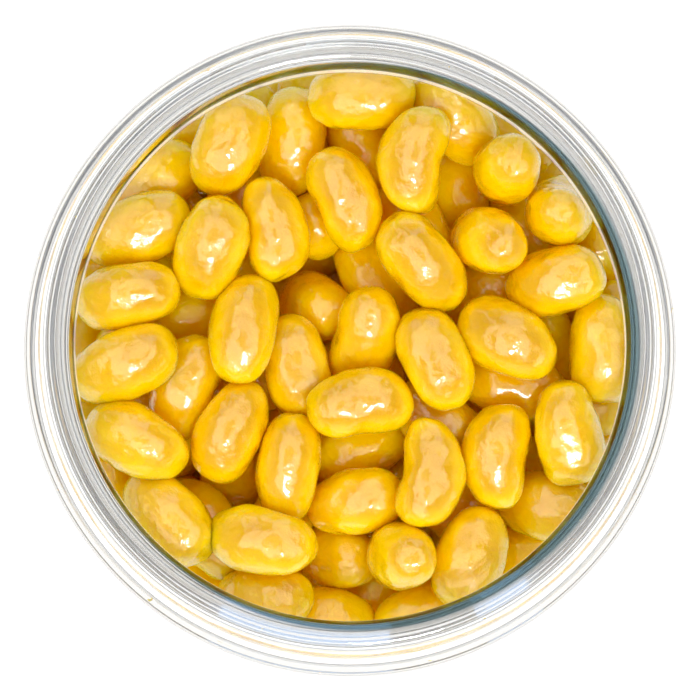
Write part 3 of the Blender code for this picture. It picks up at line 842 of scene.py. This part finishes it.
def make_jar():
    """The jar, turned round its axis."""
    jar = turned_piece("glass_jar", jar_outline(), JAR_SEGMENTS)
    finished(jar, clear_glass(), "jar")


def make_floor():
    """A plain pale floor that glows a little, so that it stays pale under the jar."""
    start_afresh()
    bpy.ops.mesh.primitive_plane_add(size=FLOOR_WIDTH, location=(0, 0, -FLOOR_DROP))
    floor = bpy.context.object
    floor.name = "floor"
    material, _, _, shader = nodes_of("pale_floor")
    shader.inputs["Base Color"].default_value = FLOOR_COLOUR
    shader.inputs["Roughness"].default_value = FLOOR_ROUGHNESS
    shader.inputs["Emission Color"].default_value = (1.0, 1.0, 1.0, 1.0)
    shader.inputs["Emission Strength"].default_value = FLOOR_GLOW
    floor.data.materials.append(material)


def point_at(item, way, target, distance):
    """Put a lamp or a camera that way from the target, facing it."""
    item.location = target + way * distance
    item.rotation_mode = "QUATERNION"
    item.rotation_quaternion = way.to_track_quat("Z", "Y")


def make_key_light():
    """A soft square lamp, tilted from straight above the mouth towards the front."""
    lamp = bpy.data.lights.new("key", "AREA")
    lamp.shape = "SQUARE"
    lamp.size = KEY_SIZE
    lamp.energy = KEY_POWER
    item = bpy.data.objects.new("key", lamp)
    bpy.context.scene.collection.objects.link(item)
    side, lean = math.radians(KEY_AZIMUTH), math.radians(KEY_TILT)
    flat = math.sin(lean)
    way = Vector((flat * math.cos(side), flat * math.sin(side), math.cos(lean)))
    point_at(item, way, Vector((0.0, 0.0, JAR_HEIGHT)), KEY_DISTANCE)


def make_sky():
    """A bright dome, weaker straight above and low down, with a blue window on one side."""
    world = bpy.data.worlds.new("studio")
    bpy.context.scene.world = world
    world.use_nodes = True
    nodes, links = world.node_tree.nodes, world.node_tree.links
    sky = nodes["Background"]
    way = nodes.new("ShaderNodeTexCoord")
    parts = nodes.new("ShaderNodeSeparateXYZ")
    links.new(way.outputs["Generated"], parts.inputs["Vector"])
    shade = ramp(nodes, links, parts.outputs["Z"], SKY)
    lean = vector_node(nodes, links, "DOT_PRODUCT", way.outputs["Generated"], BRIGHTER_SIDE)
    brighter = vector_node(nodes, links, "SCALE", shade)
    side = levels(nodes, links, lean.outputs["Value"], (-1.0, 1.0), SIDE_RANGE)
    links.new(side, brighter.inputs["Scale"])
    azimuth = value_of(nodes, links, "ARCTAN2", parts.outputs["Y"], parts.outputs["X"])
    height = between(nodes, links, parts.outputs["Z"], *WINDOW_SINE)
    colour = brighter.outputs["Vector"]
    for paint, limits in (
            (WINDOW_COLOUR, WINDOW_AZIMUTH), (WINDOW_BAR_COLOUR, WINDOW_BAR_AZIMUTH)):
        inside = between(nodes, links, azimuth, *(math.radians(limit) for limit in limits))
        mix = nodes.new("ShaderNodeMix")
        mix.data_type = "RGBA"
        links.new(value_of(nodes, links, "MULTIPLY", inside, height), mix.inputs["Factor"])
        links.new(colour, mix.inputs["A"])
        mix.inputs["B"].default_value = (*paint, 1.0)
        colour = mix.outputs["Result"]
    links.new(colour, sky.inputs["Color"])
    sky.inputs["Strength"].default_value = SKY_STRENGTH


def make_camera():
    """The camera, at the photo's angle and with its angle of view."""
    camera = bpy.data.cameras.new("camera")
    camera.sensor_width = SENSOR_WIDTH
    camera.lens = FOCAL_PIXELS / PHOTO_WIDTH * SENSOR_WIDTH
    item = bpy.data.objects.new("camera", camera)
    bpy.context.scene.collection.objects.link(item)
    rise = math.radians(CAMERA_ELEVATION)
    back = Vector((0.0, -math.cos(rise), math.sin(rise)))
    point_at(item, back, Vector((0.0, 0.0, AIM_Z)), CAMERA_DISTANCE)
    bpy.context.scene.camera = item


def set_light_paths():
    """True colours, and enough bounces for light to find its way through the lip's glass."""
    scene = bpy.context.scene
    scene.view_settings.view_transform = "Standard"
    scene.cycles.max_bounces = LIGHT_BOUNCES
    scene.cycles.transmission_bounces = LIGHT_BOUNCES
    scene.cycles.glossy_bounces = LIGHT_BOUNCES
    scene.cycles.diffuse_bounces = JELLY_BOUNCES


make_camera()
set_light_paths()
make_sky()
make_key_light()
make_floor()
make_jar()
make_beans()
